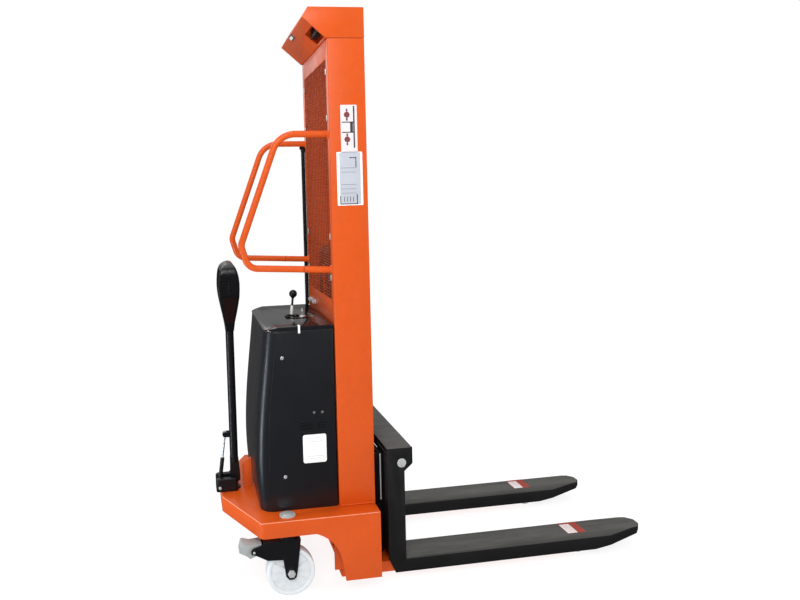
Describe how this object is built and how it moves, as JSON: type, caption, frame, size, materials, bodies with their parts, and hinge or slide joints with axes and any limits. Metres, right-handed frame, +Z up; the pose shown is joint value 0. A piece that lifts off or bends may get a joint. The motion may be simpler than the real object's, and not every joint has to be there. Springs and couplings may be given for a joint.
{
  "type": "walkie stacker",
  "caption": "Semi-electric walkie stacker: a single mast with forks over support legs, a rear power cover, a spring-balanced tiller, braked rear casters and grab rails.",
  "frame": {"origin": "on the floor, under the middle of the overall length and width", "axes": "+X towards the fork tips, +Y to the machine's left, +Z up"},
  "size_m": [1.65, 0.7, 2.08],
  "materials": {
    "orange_paint": "gloss",
    "black_paint": "semi-gloss",
    "black_plastic": "matte",
    "black_gloss": "gloss",
    "white_nylon": "satin",
    "zinc_steel": "satin",
    "chrome_rod": "polished",
    "chain_steel": "oiled",
    "aluminium_block": "satin",
    "hose_rubber": "matte",
    "grey_case": "matte",
    "mesh_wire": "gloss"
  },
  "bodies": {
    "chassis": {"chassis_frame": "orange_paint", "mast_channel_left": "orange_paint", "mast_channel_right": "orange_paint", "mast_hood": "orange_paint", "upper_cross_plate": "orange_paint", "lower_cross_plate": "orange_paint", "guard_mesh": "mesh_wire", "grab_rail_left": "orange_paint", "grab_rail_right": "orange_paint", "support_leg_frame": "orange_paint", "load_wheel_axles": "zinc_steel", "cylinder_barrel": "black_paint", "cylinder_gland": "zinc_steel", "rear_chain_bolts": "zinc_steel", "rear_chain_bracket": "orange_paint", "rear_chains": "chain_steel", "power_cover": "black_paint", "cover_top_panel": "black_paint", "cover_screws": "zinc_steel", "battery": "grey_case", "hydraulic_tank": "black_plastic", "pump_block": "aluminium_block", "pump_motor": "black_paint", "pressure_hose": "hose_rubber", "instrument_panel": "black_gloss", "limit_switch": "black_plastic", "caster_kingpins": "zinc_steel"},
    "carriage": {"carriage_frame": "black_paint", "carriage_beam": "black_paint", "fork_left": "black_paint", "fork_right": "black_paint", "fork_shaft": "zinc_steel", "front_chain_bolts": "zinc_steel", "front_chains": "chain_steel"},
    "roller_lower_left": {"mast_roller_lower_left": "chain_steel"},
    "roller_lower_right": {"mast_roller_lower_right": "chain_steel"},
    "roller_upper_left": {"mast_roller_upper_left": "chain_steel"},
    "roller_upper_right": {"mast_roller_upper_right": "chain_steel"},
    "lift_rod": {"piston_rod": "chrome_rod", "chain_yoke": "black_paint"},
    "pulleys": {"chain_pulleys": "chain_steel"},
    "tiller_mount": {"tiller_seat": "black_paint", "tiller_pins": "zinc_steel"},
    "tiller": {"tiller_tube": "black_paint", "tiller_head": "black_plastic"},
    "tiller_trigger": {"finger_lever": "black_gloss"},
    "spring_body": {"gas_spring_body": "black_paint"},
    "spring_rod": {"gas_spring_rod": "chrome_rod"},
    "lever": {"lift_lever": "zinc_steel"},
    "ignition_key": {"key": "zinc_steel"},
    "load_wheel_left_body": {"load_wheel_left": "white_nylon"},
    "caster_left": {"caster_fork_left": "black_paint", "caster_axle_left": "zinc_steel"},
    "caster_left_wheel": {"caster_wheel_left": "white_nylon"},
    "caster_left_pedal": {"brake_pedal_left": "zinc_steel"},
    "load_wheel_right_body": {"load_wheel_right": "white_nylon"},
    "caster_right": {"caster_fork_right": "black_paint", "caster_axle_right": "zinc_steel"},
    "caster_right_wheel": {"caster_wheel_right": "white_nylon"},
    "caster_right_pedal": {"brake_pedal_right": "zinc_steel"}
  },
  "joints": [
    {"name": "fork_lift", "type": "slide", "parent": "chassis", "child": "carriage", "axis": [0, 0, 1], "range_m": [0, 1.52], "deforming": ["front_chains"]},
    {"name": "rod_lift", "type": "slide", "parent": "chassis", "child": "lift_rod", "axis": [0, 0, 1], "range_m": [0, 0.76], "deforming": ["rear_chains"]},
    {"name": "pulley_spin", "type": "hinge", "parent": "lift_rod", "child": "pulleys", "pos_m": [-0.3325, 0, 1.18], "axis": [0, -1, 0], "continuous": true},
    {"name": "roller_lower_left_spin", "type": "hinge", "parent": "carriage", "child": "roller_lower_left", "pos_m": [-0.3205, 0.246, 0.125], "axis": [0, -1, 0], "continuous": true},
    {"name": "roller_lower_right_spin", "type": "hinge", "parent": "carriage", "child": "roller_lower_right", "pos_m": [-0.3205, -0.246, 0.125], "axis": [0, -1, 0], "continuous": true},
    {"name": "roller_upper_left_spin", "type": "hinge", "parent": "carriage", "child": "roller_upper_left", "pos_m": [-0.3205, 0.246, 0.395], "axis": [0, 1, 0], "continuous": true},
    {"name": "roller_upper_right_spin", "type": "hinge", "parent": "carriage", "child": "roller_upper_right", "pos_m": [-0.3205, -0.246, 0.395], "axis": [0, 1, 0], "continuous": true},
    {"name": "tiller_swivel", "type": "hinge", "parent": "chassis", "child": "tiller_mount", "pos_m": [-0.751, 0, 0.2845], "axis": [0, 0, 1], "range_deg": [-50, 50]},
    {"name": "tiller_tilt", "type": "hinge", "parent": "tiller_mount", "child": "tiller", "pos_m": [-0.757, 0, 0.318], "axis": [0, -1, 0], "range_deg": [0, 55], "stiffness_Nm_per_rad": 20, "springref_deg": -28.65},
    {"name": "spring_swing", "type": "hinge", "parent": "tiller_mount", "child": "spring_body", "pos_m": [-0.811, 0, 0.301], "axis": [0, -1, 0], "range_deg": [0, 60]},
    {"name": "spring_stroke", "type": "slide", "parent": "spring_body", "child": "spring_rod", "axis": [0.14, 0, 0.9901], "range_m": [-0.06, 0]},
    {"name": "finger_lever_tilt", "type": "hinge", "parent": "tiller", "child": "tiller_trigger", "pos_m": [-0.751, 0, 0.993], "axis": [0, 1, 0], "range_deg": [-12, 12], "stiffness_Nm_per_rad": 1},
    {"name": "lift_lever_tilt", "type": "hinge", "parent": "chassis", "child": "lever", "pos_m": [-0.513, -0.028, 0.93], "axis": [0, 1, 0], "range_deg": [-18, 18], "stiffness_Nm_per_rad": 2},
    {"name": "key_turn", "type": "hinge", "parent": "chassis", "child": "ignition_key", "pos_m": [-0.475, -0.072, 0.9621], "axis": [0, 0, 1], "range_deg": [0, 90]},
    {"name": "load_wheel_left_spin", "type": "hinge", "parent": "chassis", "child": "load_wheel_left_body", "pos_m": [0.56, 0.227, 0.035], "axis": [0, 1, 0], "continuous": true},
    {"name": "caster_left_swivel", "type": "hinge", "parent": "chassis", "child": "caster_left", "pos_m": [-0.586, 0.303, 0.2265], "axis": [0, 0, 1], "range_deg": [-150, 150]},
    {"name": "caster_left_wheel_spin", "type": "hinge", "parent": "caster_left", "child": "caster_left_wheel", "pos_m": [-0.582, 0.303, 0.087], "axis": [0, 1, 0], "continuous": true},
    {"name": "caster_left_brake", "type": "hinge", "parent": "caster_left", "child": "caster_left_pedal", "pos_m": [-0.712, 0.303, 0.178], "axis": [0, -1, 0], "range_deg": [0, 18]},
    {"name": "load_wheel_right_spin", "type": "hinge", "parent": "chassis", "child": "load_wheel_right_body", "pos_m": [0.56, -0.227, 0.035], "axis": [0, 1, 0], "continuous": true},
    {"name": "caster_right_swivel", "type": "hinge", "parent": "chassis", "child": "caster_right", "pos_m": [-0.586, -0.303, 0.2265], "axis": [0, 0, 1], "range_deg": [-150, 150]},
    {"name": "caster_right_wheel_spin", "type": "hinge", "parent": "caster_right", "child": "caster_right_wheel", "pos_m": [-0.582, -0.303, 0.087], "axis": [0, 1, 0], "continuous": true},
    {"name": "caster_right_brake", "type": "hinge", "parent": "caster_right", "child": "caster_right_pedal", "pos_m": [-0.712, -0.303, 0.178], "axis": [0, -1, 0], "range_deg": [0, 18]}
  ],
  "couplings": [
    {"joint": "rod_lift", "follows": "fork_lift", "ratio": 0.5},
    {"joint": "pulley_spin", "follows": "fork_lift", "rad_per_m": 13.158},
    {"joint": "roller_lower_left_spin", "follows": "fork_lift", "rad_per_m": 17.513},
    {"joint": "roller_lower_right_spin", "follows": "fork_lift", "rad_per_m": 17.513},
    {"joint": "roller_upper_left_spin", "follows": "fork_lift", "rad_per_m": 17.513},
    {"joint": "roller_upper_right_spin", "follows": "fork_lift", "rad_per_m": 17.513},
    {"joint": "spring_swing", "follows": "tiller_tilt", "ratio": 0.9828},
    {"joint": "spring_stroke", "follows": "tiller_tilt", "m_per_rad": -0.05447}
  ]
}
